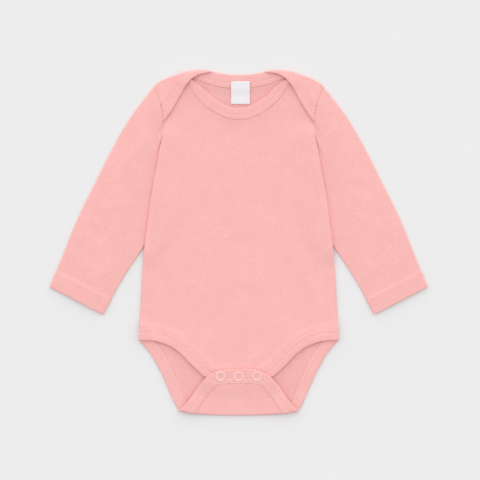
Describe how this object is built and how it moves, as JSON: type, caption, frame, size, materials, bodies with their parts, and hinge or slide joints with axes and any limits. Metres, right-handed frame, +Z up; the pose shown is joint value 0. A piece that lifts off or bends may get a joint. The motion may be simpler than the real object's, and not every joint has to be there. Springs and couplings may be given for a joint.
{
  "type": "baby bodysuit",
  "caption": "Long-sleeved baby bodysuit in plain salmon-pink cotton, laid flat: envelope neck with bound edges, bound leg openings and a crotch tab closed with ring snaps.",
  "frame": {"origin": "middle of the garment's outline, on the surface that it lies on", "axes": "+X to the right as one looks down on the garment's front, +Y towards the neck, +Z up out of its front"},
  "size_m": [0.4068, 0.3719, 0.0102],
  "materials": {
    "knit": "matt fine cotton interlock knit",
    "binding": "matt folded knit strip with twin-needle stitching",
    "label": "woven satin, bare",
    "snap": "satin enamel in the garment's colour"
  },
  "bodies": {
    "root": {"front_panel": "knit", "back_panel": "knit", "sleeve_left": "knit", "sleeve_right": "knit", "front_neck_binding": "binding", "back_neck_binding": "binding", "front_leg_binding": "binding", "back_leg_binding": "binding", "neck_label": "label", "snap_back_ring_left": "snap", "snap_back_ring_middle": "snap", "snap_back_ring_right": "snap", "snap_stud_left": "snap", "snap_stud_middle": "snap", "snap_stud_right": "snap", "snap_socket_left": "snap", "snap_socket_middle": "snap", "snap_socket_right": "snap", "snap_cap_ring_left": "snap", "snap_cap_ring_middle": "snap", "snap_cap_ring_right": "snap"}
  },
  "joints": []
}
